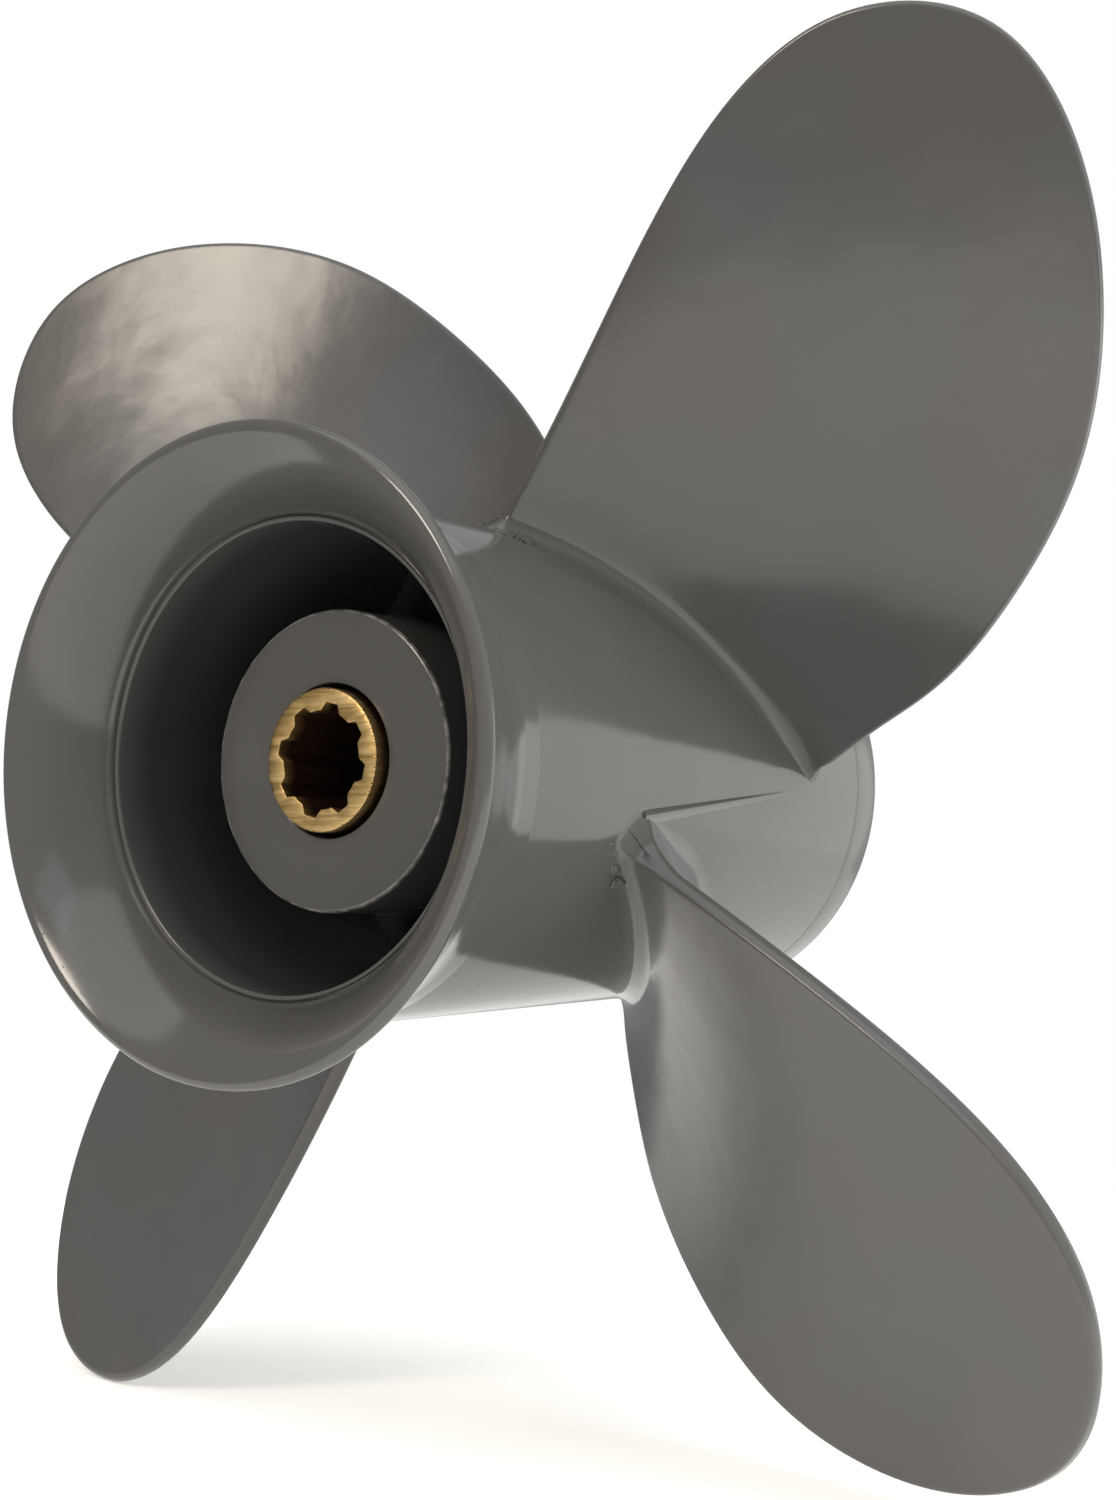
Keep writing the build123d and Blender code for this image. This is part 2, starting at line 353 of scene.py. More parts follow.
# ------------------------------------------------------------------ finishes
def enamel_material():
    """Grey enamel baked on cast aluminium: glossy on the barrel, satin on the blades."""
    material, is_new = material_named("baked_enamel_on_cast_aluminium")
    if not is_new:
        return material
    finish = bpy.context.scene.propeller_finish
    barrel = bpy.context.scene.propeller_barrel
    step_y = RIM_Y + barrel.step_depth
    node = partial(add_node, material.node_tree)
    place = node("ShaderNodeTexCoord").outputs["Object"]
    flat = node("ShaderNodeVectorMath", {0: place, 1: (1, 0, 1)}, operation="MULTIPLY")
    radius = node("ShaderNodeVectorMath", {0: flat}, operation="LENGTH").outputs["Value"]
    y = node("ShaderNodeSeparateXYZ", {0: place}).outputs["Y"]
    # The blades are linished before they are sprayed, so their film is duller.
    away_from_axis = node(
        "ShaderNodeMapRange", {"Value": radius, "From Min": 41 * MM, "From Max": 50 * MM},
        interpolation_type="SMOOTHSTEP")
    beyond_flare = node(
        "ShaderNodeMapRange",
        {"Value": y, "From Min": RIM_Y + 22 * MM, "From Max": RIM_Y + 28 * MM})
    out_on_blade = node(
        "ShaderNodeMath", {0: away_from_axis, 1: beyond_flare}, operation="MULTIPLY")
    # Blotches 18 mm across in the film's thickness
    blotch = node("ShaderNodeTexNoise", {"Vector": place, "Scale": 55.0, "Detail": 3.0})
    roughness = node(
        "ShaderNodeMapRange", {"Value": out_on_blade, "To Min": 0.15, "To Max": 0.225})
    rough_change = node(
        "ShaderNodeMath", {0: blotch, 1: 0.06, 2: -0.03}, operation="MULTIPLY_ADD")
    rough_total = node("ShaderNodeMath", {0: roughness, 1: rough_change}, operation="ADD")
    # Painted shade: inside the duct, forward of the step ring, the enamel is painted a darker
    # colour where shade falls deep in the bore.
    inside = node(
        "ShaderNodeMapRange",
        {"Value": radius, "From Min": barrel.step_radius + 0.1 * MM,
         "From Max": barrel.step_radius - 0.5 * MM})
    deep = node(
        "ShaderNodeMapRange",
        {"Value": y, "From Min": step_y + 0.5 * MM, "From Max": step_y + 8 * MM})
    beyond_hub = node(
        "ShaderNodeMapRange",
        {"Value": radius, "From Min": HUB_RADIUS - 0.2 * MM,
         "From Max": HUB_RADIUS + 0.5 * MM})
    duct_shade_area = node("ShaderNodeMath", {0: inside, 1: deep}, operation="MULTIPLY")
    duct = node("ShaderNodeMath", {0: duct_shade_area, 1: beyond_hub}, operation="MULTIPLY")
    # Specks of 0.5 mm, 2.4 mm apart, where grit shows through
    grit = node("ShaderNodeTexVoronoi", {"Vector": place, "Scale": 420.0})
    speck = node(
        "ShaderNodeMapRange",
        {"Value": grit, "From Min": 0.03, "From Max": 0.10, "To Min": 1.0, "To Max": 0.0})
    shade = node("ShaderNodeMapRange", {"Value": blotch, "To Min": 0.90, "To Max": 1.10})
    # The film's grey leans to plum or to blue in patches 40 mm across.
    patch = node("ShaderNodeTexNoise", {"Vector": place, "Scale": 26.0, "Detail": 2.0})
    patch_spread = node(
        "ShaderNodeMapRange", {"Value": patch, "From Min": 0.35, "From Max": 0.65})
    lean = node(
        "ShaderNodeMix",
        {"Factor": patch_spread, 6: linear_colour("fffaf7"), 7: linear_colour("f6faff")},
        data_type="RGBA")
    leaning = node(
        "ShaderNodeMix", {"Factor": out_on_blade, 6: finish.enamel, 7: lean},
        data_type="RGBA", blend_type="MULTIPLY")
    # Chips 2 mm across along the hub's aft edge show bare metal.
    edge_radius = node(
        "ShaderNodeMath", {0: radius, 1: HUB_RADIUS - 0.15 * MM, 2: 0.3 * MM},
        operation="COMPARE")
    edge_y = node(
        "ShaderNodeMath", {0: y, 1: HUB_AFT_Y + 0.15 * MM, 2: 0.4 * MM},
        operation="COMPARE")
    chips = node("ShaderNodeTexNoise", {"Vector": place, "Scale": 450.0, "Detail": 3.0})
    chipped = node(
        "ShaderNodeMapRange",
        {"Value": chips, "From Min": 0.42, "From Max": 0.66, "To Max": 0.55})
    edge_mask = node("ShaderNodeMath", {0: edge_radius, 1: edge_y}, operation="MULTIPLY")
    chip_mask = node("ShaderNodeMath", {0: edge_mask, 1: chipped}, operation="MULTIPLY")
    worn = node(
        "ShaderNodeMix", {"Factor": chip_mask, 6: leaning, 7: linear_colour("b9b5ac")},
        data_type="RGBA")
    # The duct colour, painted shade, is mixed in over the duct's wall.
    tone = node(
        "ShaderNodeMix", {"Factor": duct, 6: worn, 7: finish.duct}, data_type="RGBA")
    shaded = node("ShaderNodeVectorMath", {0: tone, 3: shade}, operation="SCALE")
    # Waves 25 mm apart, left where the casting was linished by hand
    wave = node("ShaderNodeTexNoise", {"Vector": place, "Scale": 40.0, "Detail": 2.0})
    wave_height = node("ShaderNodeMath", {0: wave, 1: out_on_blade}, operation="MULTIPLY")
    # Orange peel: waves 3 mm apart, and a finer grain of 0.6 mm
    peel = node("ShaderNodeTexNoise", {"Vector": place, "Scale": 330.0, "Detail": 1.0})
    grain = node("ShaderNodeTexNoise", {"Vector": place, "Scale": 1700.0, "Detail": 1.0})
    # Each relief, with its strength and its height, lies on the one before.
    relief = node(
        "ShaderNodeBump", {"Strength": 1.0, "Distance": 0.45 * MM, "Height": wave_height})
    for height, strength, distance in (
            (peel, 0.4, 0.06 * MM), (grain, 0.15, 0.02 * MM), (speck, 0.3, 0.03 * MM)):
        relief = node(
            "ShaderNodeBump", {"Strength": strength, "Distance": distance,
                               "Height": height, "Normal": relief})
    shader = node(
        "ShaderNodeBsdfPrincipled",
        {"Base Color": shaded, "Roughness": rough_total, "IOR": 1.5, "Normal": relief})
    node("ShaderNodeOutputMaterial", {"Surface": shader})
    return material


def brass_material():
    """Turned brass: golden, with fine slanting tool marks across the faced end."""
    material, is_new = material_named("turned_brass")
    if not is_new:
        return material
    finish = bpy.context.scene.propeller_finish
    node = partial(add_node, material.node_tree)
    place = node("ShaderNodeTexCoord").outputs["Object"]
    # Tool marks, slanting steeply; drawn 0.7 mm apart, coarser than real, so they show
    slant = node(
        "ShaderNodeMapping",
        {"Vector": place, "Rotation": (0, radians(-52), 0), "Scale": (80, 300, 1500)})
    marks = node(
        "ShaderNodeTexNoise",
        {"Vector": slant, "Scale": 1.0, "Detail": 4.0, "Roughness": 0.65})
    marks_spread = node(
        "ShaderNodeMapRange", {"Value": marks, "From Min": 0.36, "From Max": 0.64})
    # Stains 4 mm across
    stain = node("ShaderNodeTexNoise", {"Vector": place, "Scale": 260.0, "Detail": 4.0})
    stained = node(
        "ShaderNodeMix", {"Factor": stain, 6: finish.brass, 7: linear_colour("c4a468")},
        data_type="RGBA")
    tone = node(
        "ShaderNodeMix", {"Factor": marks_spread, 6: linear_colour("ae8f58"), 7: stained},
        data_type="RGBA")
    # Painted shade: the bore is painted dark brown away from the faced ends, where shade falls
    # inside the sleeve.
    y = node("ShaderNodeSeparateXYZ", {0: place}).outputs["Y"]
    inside = node(
        "ShaderNodeMapRange",
        {"Value": y, "From Min": SLEEVE_AFT_Y + 0.2 * MM,
         "From Max": SLEEVE_AFT_Y + 2.5 * MM})
    behind = node(
        "ShaderNodeMapRange",
        {"Value": y, "From Min": SLEEVE_FRONT_Y - 0.2 * MM,
         "From Max": SLEEVE_FRONT_Y - 2.5 * MM})
    bore = node("ShaderNodeMath", {0: inside, 1: behind}, operation="MULTIPLY")
    bore_painted_shade = node(
        "ShaderNodeMix", {"Factor": bore, 6: tone, 7: linear_colour("6b5340")},
        data_type="RGBA")
    roughness = node(
        "ShaderNodeMapRange",
        {"Value": marks, "From Min": 0.3, "From Max": 0.7, "To Min": 0.30, "To Max": 0.55})
    bump = node(
        "ShaderNodeBump", {"Strength": 1.0, "Distance": 0.12 * MM, "Height": marks})
    shader = node(
        "ShaderNodeBsdfPrincipled",
        {"Base Color": bore_painted_shade, "Metallic": 1.0, "Roughness": roughness, "Normal": bump})
    node("ShaderNodeOutputMaterial", {"Surface": shader})
    return material


def rubber_material():
    """Moulded rubber: matt black with a fine mould grain."""
    material, is_new = material_named("moulded_rubber")
    if not is_new:
        return material
    finish = bpy.context.scene.propeller_finish
    node = partial(add_node, material.node_tree)
    place = node("ShaderNodeTexCoord").outputs["Object"]
    # Mould grain 0.5 mm across, and bloom in patches of 8 mm
    grain = node("ShaderNodeTexNoise", {"Vector": place, "Scale": 2000.0, "Detail": 2.0})
    bloom = node("ShaderNodeTexNoise", {"Vector": place, "Scale": 120.0, "Detail": 3.0})
    tone = node(
        "ShaderNodeMix", {"Factor": bloom, 6: finish.rubber, 7: linear_colour("2c2b2a")},
        data_type="RGBA")
    bump = node(
        "ShaderNodeBump", {"Strength": 0.4, "Distance": 0.05 * MM, "Height": grain})
    shader = node(
        "ShaderNodeBsdfPrincipled", {"Base Color": tone, "Roughness": 0.75, "Normal": bump})
    node("ShaderNodeOutputMaterial", {"Surface": shader})
    return material


# ------------------------------------------------------------------ casting
class BuildBarrel(bpy.types.Operator):
    """Spin the barrel with its flared diffuser, step ring, bore and turned groove."""

    bl_idname = "propeller.build_barrel"
    bl_label = "Build barrel"

    def execute(self, context):
        barrel = context.scene.propeller_barrel
        lip_width = 2.6 * MM
        lip_round = 1.2 * MM
        lip_from, lip_to = radians(54), radians(214.7)
        lip_steps = 14
        step_round = 0.35 * MM
        flare_end_y = RIM_Y + barrel.flare_length
        step_y = RIM_Y + barrel.step_depth
        groove_y = BARREL_FRONT_Y - barrel.groove_setback
        groove_end_y = groove_y + 0.8 * MM
        groove_depth = 0.07 * MM
        groove_wall = 0.3 * MM
        plain_y = groove_y - 20 * MM
        profile = []
        # Rounded lip, from inside to outside
        for step in range(lip_steps + 1):
            turn = lip_from + (lip_to - lip_from) * step / lip_steps
            profile.append((
                RIM_RADIUS - lip_width / 2 - lip_width / 2 * cos(turn),
                RIM_Y + lip_round - lip_round * sin(turn)))
        lip_inside, lip_outside = profile[0], profile[-1]
        profile += hermite(
            lip_outside, (-0.75, 1), (barrel.aft_radius, flare_end_y), (-0.10, 1), 28)
        # A faint turned crease just forward of the flare
        crease_y = flare_end_y + 3.2 * MM
        crease = 0.05 * MM
        profile.append((barrel.aft_radius, flare_end_y))
        for reach, depth in ((-0.6, 0), (-0.15, crease), (0.15, crease), (0.6, 0)):
            y = crease_y + reach * MM
            profile.append((barrel_radius(y) - depth, y))
        profile += rounded_path([
            (barrel_radius(plain_y), plain_y, 0),
            (barrel_radius(groove_y), groove_y, 0.3 * MM),
            (barrel_radius(groove_y) - groove_depth, groove_y + groove_wall, 0),
            (barrel_radius(groove_y) - groove_depth, groove_end_y - groove_wall, 0),
            (barrel_radius(groove_end_y), groove_end_y, 0.3 * MM),
            (barrel.front_radius, BARREL_FRONT_Y, 1.2 * MM),
            (barrel.bore_front_radius, BARREL_FRONT_Y, 0.5 * MM),
            (barrel.bore_front_radius + 0.3 * MM, BARREL_FRONT_Y - 25 * MM, 0),
            (barrel.bore_aft_radius - 0.02 * MM, step_y + 3 * MM, 0),
        ])
        profile += [(barrel.bore_aft_radius, step_y + 1.5 * MM)]
        # Step ring: a small round on its edge, then a narrow groove
        for step in range(5):
            turn = pi / 2 * step / 4
            profile.append((
                barrel.bore_aft_radius + step_round * (1 - cos(turn)),
                step_y + 1.1 * MM - step_round * sin(turn)))
        for inset, depth in (
                (0.80, 0.72), (0.70, 0.80), (0.64, 1.15), (0.46, 1.20), (0.32, 1.10),
                (0.26, 0.50), (0.12, 0.14), (0.0, 0.0)):
            profile.append((barrel.step_radius - inset * MM, step_y + depth * MM))
        profile += hermite(
            (barrel.step_radius, step_y), (0.42, -1),
            lip_inside, (1.5, -1), 26)
        finish_casting(lathe(profile), "barrel_shell", ["barrel"])
        return {"FINISHED"}


class BuildHub(bpy.types.Operator):
    """Spin the inner hub tube with its inward lip round the sleeve."""

    bl_idname = "propeller.build_hub"
    bl_label = "Build hub"

    def execute(self, context):
        lip_radius = SLEEVE_RADIUS + 0.8 * MM
        bore_radius = BUSH_RADIUS + 0.05 * MM
        lip_length = 6 * MM
        bm = lathe(rounded_path([
            (lip_radius, HUB_AFT_Y, 0.25 * MM),
            (HUB_RADIUS, HUB_AFT_Y, 0.6 * MM),
            (HUB_RADIUS, HUB_FRONT_Y, 1.5 * MM),
            (bore_radius, HUB_FRONT_Y, 1.0 * MM),
            (bore_radius, HUB_AFT_Y + lip_length, 0.3 * MM),
            (lip_radius, HUB_AFT_Y + lip_length, 0.3 * MM),
        ]))
        finish_casting(bm, "hub_tube", ["inner_hub"])
        return {"FINISHED"}


class BuildRibs(bpy.types.Operator):
    """Shape the four ribs that carry the hub, with slanted aft edges and cast fillets."""

    bl_idname = "propeller.build_ribs"
    bl_label = "Build ribs"

    def execute(self, context):
        barrel = context.scene.propeller_barrel
        across = 28
        along = 40
        inner = HUB_RADIUS - 0.6 * MM
        outer = barrel.bore_front_radius + 1.2 * MM
        # The aft edge stands this far inside the hub, and leans forward towards the barrel.
        setback = 13 * MM
        lean = 9 * MM
        front_y = HUB_FRONT_Y - 9 * MM
        fillet = 2.2 * MM
        nose = barrel.rib_thickness / 2
        for index in range(4):
            angle = barrel.rib_phase + index * pi / 2
            outward = off_axis(1, angle)
            sideways = off_axis(1, angle + pi / 2)
            bm = bmesh.new()
            for side in (-1, 1):
                made = bmesh.ops.create_grid(
                    bm, x_segments=across, y_segments=along, size=0.5)["verts"]
                for vert in made:
                    u = vert.co.x + 0.5
                    v = vert.co.y + 0.5
                    reach = 0.5 - 0.5 * cos(pi * u)
                    r = inner + reach * (outer - inner)
                    aft_y = HUB_AFT_Y + setback + lean * reach
                    # Rows bunch at both ends, where the edge is rounded.
                    turn = 0.5 - 0.5 * cos(pi * v)
                    y = aft_y + turn * (front_y - aft_y)
                    end = min(y - aft_y, front_y - y)
                    half = nose
                    if end < nose:
                        half = sqrt(max(0.0, nose**2 - (nose - end)**2))
                    gap = min(r - HUB_RADIUS, barrel.bore_front_radius - r)
                    swell = 0.0
                    if gap < fillet:
                        gap = max(0.0, gap)
                        swell = fillet - sqrt(max(0.0, fillet**2 - (fillet - gap)**2))
                    half += swell * min(1.0, half / nose)
                    vert.co = outward * r + sideways * side * half + Vector((0, y, 0))
            bmesh.ops.remove_doubles(bm, verts=bm.verts, dist=SAME_PLACE)
            rim = [edge for edge in bm.edges if edge.is_boundary]
            bmesh.ops.holes_fill(bm, edges=rim)
            bmesh.ops.recalc_face_normals(bm, faces=bm.faces)
            cad_node = nearest_node("rib_", outward * (inner + outer) / 2)
            finish_casting(bm, f"rib_web_{index + 1}", [cad_node], radians(60))
        return {"FINISHED"}


def nearest_node(prefix, place):
    """The CAD node of this prefix whose box centre lies nearest to a place round the axis."""
    def distance(name):
        low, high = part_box(name)
        away = (low + high) / 2 - place
        return hypot(away.x, away.z)

    return min((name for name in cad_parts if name.startswith(prefix)), key=distance)


# Outline of a blade as (share of the span, share of the chord): the trailing edge is nearly
# straight, the tip is round and the leading edge is swept.
OUTLINE = [
    (-0.04, 0.01), (0.10, 0.006), (0.37, 0.0), (0.57, 0.007), (0.77, 0.058), (0.905, 0.17),
    (1.0, 0.45), (0.942, 0.715), (0.845, 0.866), (0.67, 0.99), (0.475, 0.985),
    (0.28, 0.904), (0.142, 0.799), (0.024, 0.711), (-0.04, 0.66),
]


def spline_through(points, steps):
    """Dense points of a natural cubic spline through the given ones."""
    points = np.array(points, float)
    t = np.concatenate([[0], np.cumsum(np.linalg.norm(np.diff(points, axis=0), axis=1))])
    gap = np.diff(t)
    count = len(points)
    system = np.eye(count)
    right = np.zeros((count, 2))
    for i in range(1, count - 1):
        system[i, i - 1:i + 2] = (gap[i - 1], 2 * (gap[i - 1] + gap[i]), gap[i])
        right[i] = 6 * ((points[i + 1] - points[i]) / gap[i]
                        - (points[i] - points[i - 1]) / gap[i - 1])
    bend = np.linalg.solve(system, right)
    dense = []
    for value in np.linspace(0, t[-1], steps):
        i = min(count - 2, int(np.searchsorted(t, value, side="right")) - 1)
        a = (t[i + 1] - value) / gap[i]
        b = (value - t[i]) / gap[i]
        dense.append(
            a * points[i] + b * points[i + 1]
            + ((a**3 - a) * bend[i] + (b**3 - b) * bend[i + 1]) * gap[i]**2 / 6)
    return np.array(dense)


class BladeShape:
    """Where the points of one blade lie, from an arc along the blade and a radius."""

    # How far up the blade the land's collar and the barrel's taper are felt
    COLLAR_REACH = 10 * MM
    SETTLE_REACH = 25 * MM
    # How quickly the bulge thins along the span, and falls off across the chord
    SPAN_POWER = 0.6
    CHORD_POWER = 1.2
    # Past this share of the tip's radius the chord counts as it is there.
    CHORD_LIMIT = 0.985
    OUTLINE_STEPS = 1200

    def __init__(self, blades, barrel, index):
        self.blades = blades
        self.phase = blades.phase + index * 2 * pi / blades.count
        self.root = barrel.aft_radius
        self.foot = self.root - 1.2 * MM
        self.y = RIM_Y + blades.station
        flat = []
        for span_share, arc_share in OUTLINE:
            radius = self.root + span_share * (blades.tip_radius - self.root)
            angle = (arc_share * blades.chord - blades.trailing_offset) / radius
            flat.append((radius * sin(angle), radius * cos(angle)))
        dense = spline_through(flat, self.OUTLINE_STEPS)
        radii = np.hypot(dense[:, 0], dense[:, 1])
        arcs = radii * np.arctan2(dense[:, 0], dense[:, 1])
        self.outline = np.stack([arcs, radii], 1)
        self.top = int(np.argmax(radii))

    def edges_at(self, radius):
        """Arcs of the trailing and the leading edge at a radius."""
        trailing = self.outline[:self.top]
        leading = self.outline[self.top:][::-1]
        return (float(np.interp(radius, trailing[:, 1], trailing[:, 0])),
                float(np.interp(radius, leading[:, 1], leading[:, 0])))

    def middle_y(self, arc, radius):
        """Axial place of the middle surface."""
        advance = self.blades.pitch * arc / radius / (2 * pi)
        return self.y + advance - tan(self.blades.rake) * (radius - self.root)

    def swell(self, arc, radius):
        """Extra thickness of the forward face."""
        blades = self.blades
        share = (radius - self.root) / (blades.tip_radius - self.root)
        share = min(1.0, max(0.0, share))
        bulge = blades.root_bulge + share**self.SPAN_POWER * (
            blades.tip_bulge - blades.root_bulge)
        trailing, leading = self.edges_at(
            min(radius, blades.tip_radius * self.CHORD_LIMIT))
        across = (2 * arc - trailing - leading) / (leading - trailing)
        # The land itself is thick only where it runs into the barrel.
        near_root = max(0.0, 1 - max(0.0, radius - self.root) / self.COLLAR_REACH)
        collar = blades.root_land * near_root**2
        return collar + (bulge - collar) * max(0.0, 1 - across**2)**self.CHORD_POWER

    def place(self, arc, radius, lift, slide=0.0, height=None):
        """A point lifted off the middle surface and slid along it; height is above the barrel."""
        slope = atan2(self.blades.pitch, 2 * pi * radius)
        y = self.middle_y(arc, radius) + lift * cos(slope) + slide * sin(slope)
        around = arc - lift * sin(slope) + slide * cos(slope)
        angle = self.phase + around / radius
        # Near the root a radius is counted from the barrel, which narrows forward.
        settle = barrel_radius(y) - self.foot
        if height is not None:
            radius = self.foot + height
        above = max(0.0, radius - self.foot - self.blades.fillet_height)
        radius += settle * max(0.0, 1 - above / self.SETTLE_REACH)**2
        return off_axis(radius, angle, y)


class BuildBlades(bpy.types.Operator):
    """Shape the blades: faces, a flat land with rounded edges, and a cast fillet at the root."""

    bl_idname = "propeller.build_blades"
    bl_label = "Build blades"

    # How far the root fillet spreads under each face and round each end of the blade, and
    # the share of the way to an end where the end's own reach starts to take over
    AFT_REACH = 3.1 * MM
    FORWARD_REACH = 6.5 * MM
    TRAILING_REACH = 2.8 * MM
    LEADING_REACH = 0.9 * MM
    TIP_FROM = 0.55
    # The aft fillet's height as a share of the forward one's
    AFT_FILLET_SHARE = 0.8
    # The share of the span where the spine ends, which the rows run in to
    SPINE_SHARE = 0.70
    # How strongly the columns bunch at the edge
    CROWDING = 1.35

    def execute(self, context):
        blades = context.scene.propeller_blades
        barrel = context.scene.propeller_barrel
        fillet_rows = 9
        edge_rows = 150
        face_columns = 22
        for index in range(blades.count):
            shape = BladeShape(blades, barrel, index)
            rows = self.rows(shape, blades, fillet_rows, edge_rows)
            bm = bmesh.new()
            for side in (-1, 1):
                columns = self.columns(face_columns)
                made = bmesh.ops.create_grid(
                    bm, x_segments=len(rows) - 1, y_segments=len(columns) - 1, size=0.5)
                for vert in made["verts"]:
                    i = round((vert.co.x + 0.5) * (len(rows) - 1))
                    j = round((vert.co.y + 0.5) * (len(columns) - 1))
                    vert.co = self.point(shape, blades, rows[i], columns[j], side)
            bmesh.ops.remove_doubles(bm, verts=bm.verts, dist=SAME_PLACE)
            rim = [edge for edge in bm.edges if edge.is_boundary]
            cap = bmesh.ops.holes_fill(bm, edges=rim)["faces"]
            # Short edges across the foot keep its cap inside the barrel's wall.
            bmesh.ops.triangulate(bm, faces=cap, quad_method="BEAUTY", ngon_method="BEAUTY")
            bmesh.ops.recalc_face_normals(bm, faces=bm.faces)
            middle = shape.place(15 * MM, 90 * MM, 0)
            finish_casting(
                bm, f"blade_skin_{index + 1}", [nearest_node("blade_", middle)],
                radians(40))
        return {"FINISHED"}

    def rows(self, shape, blades, fillet_rows, edge_rows):
        """Rows from the trailing root round the tip to the leading root.

        Each row is (edge arc, edge radius, spine arc, spine radius, height, spread, end).
        Height is above the barrel in the fillet, and spread runs from 1 at its foot to 0."""
        low = shape.foot + blades.fillet_height
        trailing_rows = []
        leading_rows = []
        # The first row is the foot, sunk in the barrel's wall and a little wider.
        steps = [(-0.6 * MM, 1.06)]
        for k in range(fillet_rows + 1):
            turn = pi / 2 * k / fillet_rows
            steps.append((blades.fillet_height * (1 - cos(turn)), 1 - sin(turn)))
        for height, spread in steps:
            radius = shape.foot + height
            trailing, leading = shape.edges_at(radius)
            middle = (trailing + leading) / 2
            trailing_rows.append((trailing, radius, middle, radius, height, spread, -1))
            leading_rows.append((leading, radius, middle, radius, height, spread, 1))
        outline = shape.outline
        inside = np.nonzero(outline[:, 1] > low)[0]
        run = outline[inside[0]:inside[-1] + 1]
        lengths = np.concatenate([[0], np.cumsum(np.linalg.norm(np.diff(run, axis=0), axis=1))])
        spine_end = shape.root + self.SPINE_SHARE * (blades.tip_radius - shape.root)
        edge = []
        for step in range(1, edge_rows):
            t = step / edge_rows
            at = t * lengths[-1]
            arc = float(np.interp(at, lengths, run[:, 0]))
            radius = float(np.interp(at, lengths, run[:, 1]))
            # The three rows round the tip meet in one point of the spine.
            up = min(1 - abs(2 * t - 1), 1 - 2 / edge_rows)
            spine_radius = low + up * (spine_end - low)
            trailing, leading = shape.edges_at(spine_radius)
            end = -1 if t < 0.5 else 1
            edge.append((arc, radius, (trailing + leading) / 2, spine_radius, None, 0.0, end))
        return trailing_rows + edge + leading_rows[::-1]

    def columns(self, face_columns):
        """Columns from the middle of the land to the spine: (turn of the edge, share inwards)."""
        columns = [(pi / 2, None, 0.0)]
        for turn in (90, 67.5, 45, 22.5, 0):
            columns.append((radians(turn), 1.0, 0.0))
        for k in range(1, face_columns + 1):
            share = k / face_columns
            columns.append((0.0, 1.0, share**self.CROWDING))
        return columns

    def point(self, shape, blades, row, column, side):
        """Where a row and a column of one face meet."""
        arc, radius, spine_arc, spine_radius, height, spread, end = row
        turn, outer, share = column
        rounding = blades.edge_round
        slope = atan2(blades.pitch, 2 * pi * radius)
        across = sqrt(((spine_arc - arc) / cos(slope))**2 + (spine_radius - radius)**2)
        inset = rounding * (1 - sin(turn))
        if outer is None:
            # The parting line runs round the middle of the land as a low ridge.
            inset = -blades.edge_ridge
        if share > 0:
            inset = rounding + share * (across - rounding)
        here = inset / across
        at_arc = arc + here * (spine_arc - arc)
        at_radius = radius + here * (spine_radius - radius)
        half = blades.edge_thickness / 2
        if side > 0:
            half += shape.swell(at_arc, at_radius)
        lift = side * (half - rounding * (1 - cos(turn)))
        if outer is None:
            # Middle of the land, shared by both faces
            aft_half = blades.edge_thickness / 2
            forward_half = aft_half + shape.swell(at_arc, at_radius)
            lift = (forward_half - aft_half) / 2
        slide = 0.0
        if height is not None and height > 0 and side < 0:
            height *= self.AFT_FILLET_SHARE
        if spread > 0:
            reach = self.fillet_reach(side, end, 1 - share)
            if outer is not None:
                lift += side * reach * spread * cos(turn)
            slide = end * reach * spread * sin(turn)
        return shape.place(at_arc, at_radius, lift, slide, height)

    def fillet_reach(self, side, end, to_end):
        """How far the root fillet spreads over the barrel at this place round the root."""
        face = self.AFT_REACH if side < 0 else self.FORWARD_REACH
        tip = self.TRAILING_REACH if end < 0 else self.LEADING_REACH
        fade = max(0.0, (to_end - self.TIP_FROM) / (1 - self.TIP_FROM))
        fade = fade * fade * (3 - 2 * fade)
        return face + (tip - face) * fade


class BuildPartingLines(bpy.types.Operator):
    """Raise the casting's parting lines between each blade and the next one."""

    bl_idname = "propeller.build_parting_lines"
    bl_label = "Build parting lines"

    def execute(self, context):
        blades = context.scene.propeller_blades
        barrel = context.scene.propeller_barrel
        start_y = RIM_Y + 51.5 * MM
        end_y = RIM_Y + 102.8 * MM
        # Across the line, from its steep side to its gentle one: places in mm, and heights
        # as shares of the line's own; below 0 is the depth in mm that the foot is sunk.
        offsets = (-0.95, -0.9, -0.25, 0.1, 0.6, 1.3, 2.4)
        heights = (-0.5, 0.0, 0.95, 1.0, 0.7, 0.25, -0.3)
        line_height = 0.9 * MM
        # The line's width at its faint end, as a share of its width where it starts
        narrowest = 0.35
        for index in range(blades.count):
            shape = BladeShape(blades, barrel, index)
            start_angle = shape.phase - radians(21.3)
            end_angle = shape.phase - radians(30.0)
            bm = bmesh.new()
            made = bmesh.ops.create_grid(
                bm, x_segments=60, y_segments=len(offsets) - 1, size=0.5)
            for vert in made["verts"]:
                t = vert.co.x + 0.5
                j = round((vert.co.y + 0.5) * (len(offsets) - 1))
                fade = max(0.0, 1 - t)**1.2
                angle = start_angle + t * (end_angle - start_angle)
                y = start_y + t * (end_y - start_y)
                width = narrowest + (1 - narrowest) * fade
                angle += offsets[j] * MM * width / shape.root
                high = heights[j] * (line_height * fade if heights[j] > 0 else MM)
                vert.co = off_axis(barrel_radius(y) + high, angle, y)
            bottom = bmesh.ops.extrude_face_region(bm, geom=bm.faces[:])
            for item in bottom["geom"]:
                if isinstance(item, bmesh.types.BMVert):
                    angle = atan2(item.co.x, item.co.z)
                    item.co = off_axis(barrel_radius(item.co.y) - MM, angle, item.co.y)
            bmesh.ops.recalc_face_normals(bm, faces=bm.faces)
            finish_casting(bm, f"parting_line_{index + 1}", [], radians(50))
        return {"FINISHED"}


